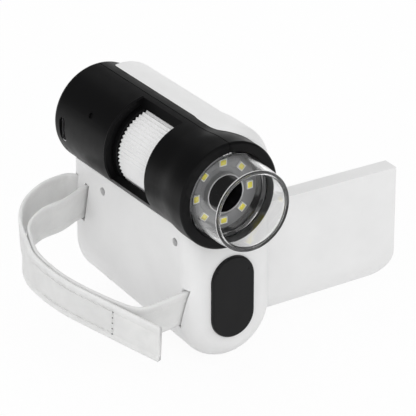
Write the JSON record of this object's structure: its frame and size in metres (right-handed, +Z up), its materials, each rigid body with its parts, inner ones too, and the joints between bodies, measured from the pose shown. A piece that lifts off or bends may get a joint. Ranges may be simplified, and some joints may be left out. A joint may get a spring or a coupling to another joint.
{
  "type": "handheld digital microscope",
  "caption": "Handheld digital microscope: rounded upright body, round barrel with focus wheel and clear lens hood, swing-out screen lid and a soft hand strap.",
  "frame": {"origin": "middle of the narrow flat under the body", "axes": "+X across the body towards the opened lid, +Y along the barrel from the lens to the rear, +Z up"},
  "size_m": [0.1236, 0.0962, 0.0829],
  "materials": {
    "white_plastic": "fine satin",
    "black_plastic": "satin",
    "badge_black": "gloss",
    "clear_plastic": "polished clear",
    "lens_glass": "polished",
    "screen_glass": "polished, smoked",
    "board": "solder mask",
    "led_board": "dark solder mask",
    "led": "phosphor",
    "dark_part": "moulded",
    "display": "metal back",
    "steel": "plated",
    "battery_foil": "pouch foil",
    "key_grey": "satin",
    "strap_leather": "soft coated band"
  },
  "bodies": {
    "housing": {"body_left_shell": "white_plastic", "body_right_shell": "white_plastic", "barrel_left_half": "black_plastic", "barrel_right_half": "black_plastic", "badge_plate": "badge_black", "clear_hood": "clear_plastic", "led_board": "led_board", "led_1": "led", "led_2": "led", "led_3": "led", "led_4": "led", "led_5": "led", "led_6": "led", "led_7": "led", "led_8": "led", "lens_sleeve": "dark_part", "sensor_board": "board", "image_sensor": "dark_part", "charge_board": "board", "charge_socket": "steel", "main_board": "board", "battery": "battery_foil", "switch_power": "dark_part", "switch_mode": "dark_part", "switch_up": "dark_part", "switch_down": "dark_part", "switch_ok": "dark_part", "screw_front": "steel", "screw_rear": "steel", "screw_low": "steel", "hinge_pin": "steel", "strap": "strap_leather"},
    "screen": {"lid_cover": "white_plastic", "lid_bezel": "white_plastic", "screen_window": "screen_glass", "lcd_module": "display"},
    "focus": {"focus_wheel": "white_plastic"},
    "lens": {"lens_carrier": "dark_part", "objective_lens": "lens_glass"},
    "key_power_body": {"key_power": "key_grey"},
    "key_mode_body": {"key_mode": "key_grey"},
    "key_up_body": {"key_up": "key_grey"},
    "key_down_body": {"key_down": "key_grey"},
    "key_ok_body": {"key_ok": "key_grey"}
  },
  "joints": [
    {"name": "screen_hinge", "type": "hinge", "parent": "housing", "child": "screen", "pos_m": [0.01415, -0.0285, 0.0294], "axis": [0, 0, 1], "range_deg": [0, 92]},
    {"name": "focus_turn", "type": "hinge", "parent": "housing", "child": "focus", "pos_m": [-0.00475, -0.007, 0.062], "axis": [0, 1, 0], "range_deg": [-150, 150]},
    {"name": "lens_slide", "type": "slide", "parent": "housing", "child": "lens", "axis": [0, 1, 0], "range_m": [-0.004, 0.004]},
    {"name": "press_power", "type": "slide", "parent": "housing", "child": "key_power_body", "axis": [-1, 0, 0], "range_m": [0, 0.0005], "stiffness_N_per_m": 400, "springref_m": -0.0003},
    {"name": "press_mode", "type": "slide", "parent": "housing", "child": "key_mode_body", "axis": [-1, 0, 0], "range_m": [0, 0.0005], "stiffness_N_per_m": 400, "springref_m": -0.0003},
    {"name": "press_up", "type": "slide", "parent": "housing", "child": "key_up_body", "axis": [-1, 0, 0], "range_m": [0, 0.0005], "stiffness_N_per_m": 400, "springref_m": -0.0003},
    {"name": "press_down", "type": "slide", "parent": "housing", "child": "key_down_body", "axis": [-1, 0, 0], "range_m": [0, 0.0005], "stiffness_N_per_m": 400, "springref_m": -0.0003},
    {"name": "press_ok", "type": "slide", "parent": "housing", "child": "key_ok_body", "axis": [-1, 0, 0], "range_m": [0, 0.0005], "stiffness_N_per_m": 400, "springref_m": -0.0003}
  ],
  "couplings": [
    {"joint": "lens_slide", "follows": "focus_turn", "m_per_rad": 0.0015}
  ]
}
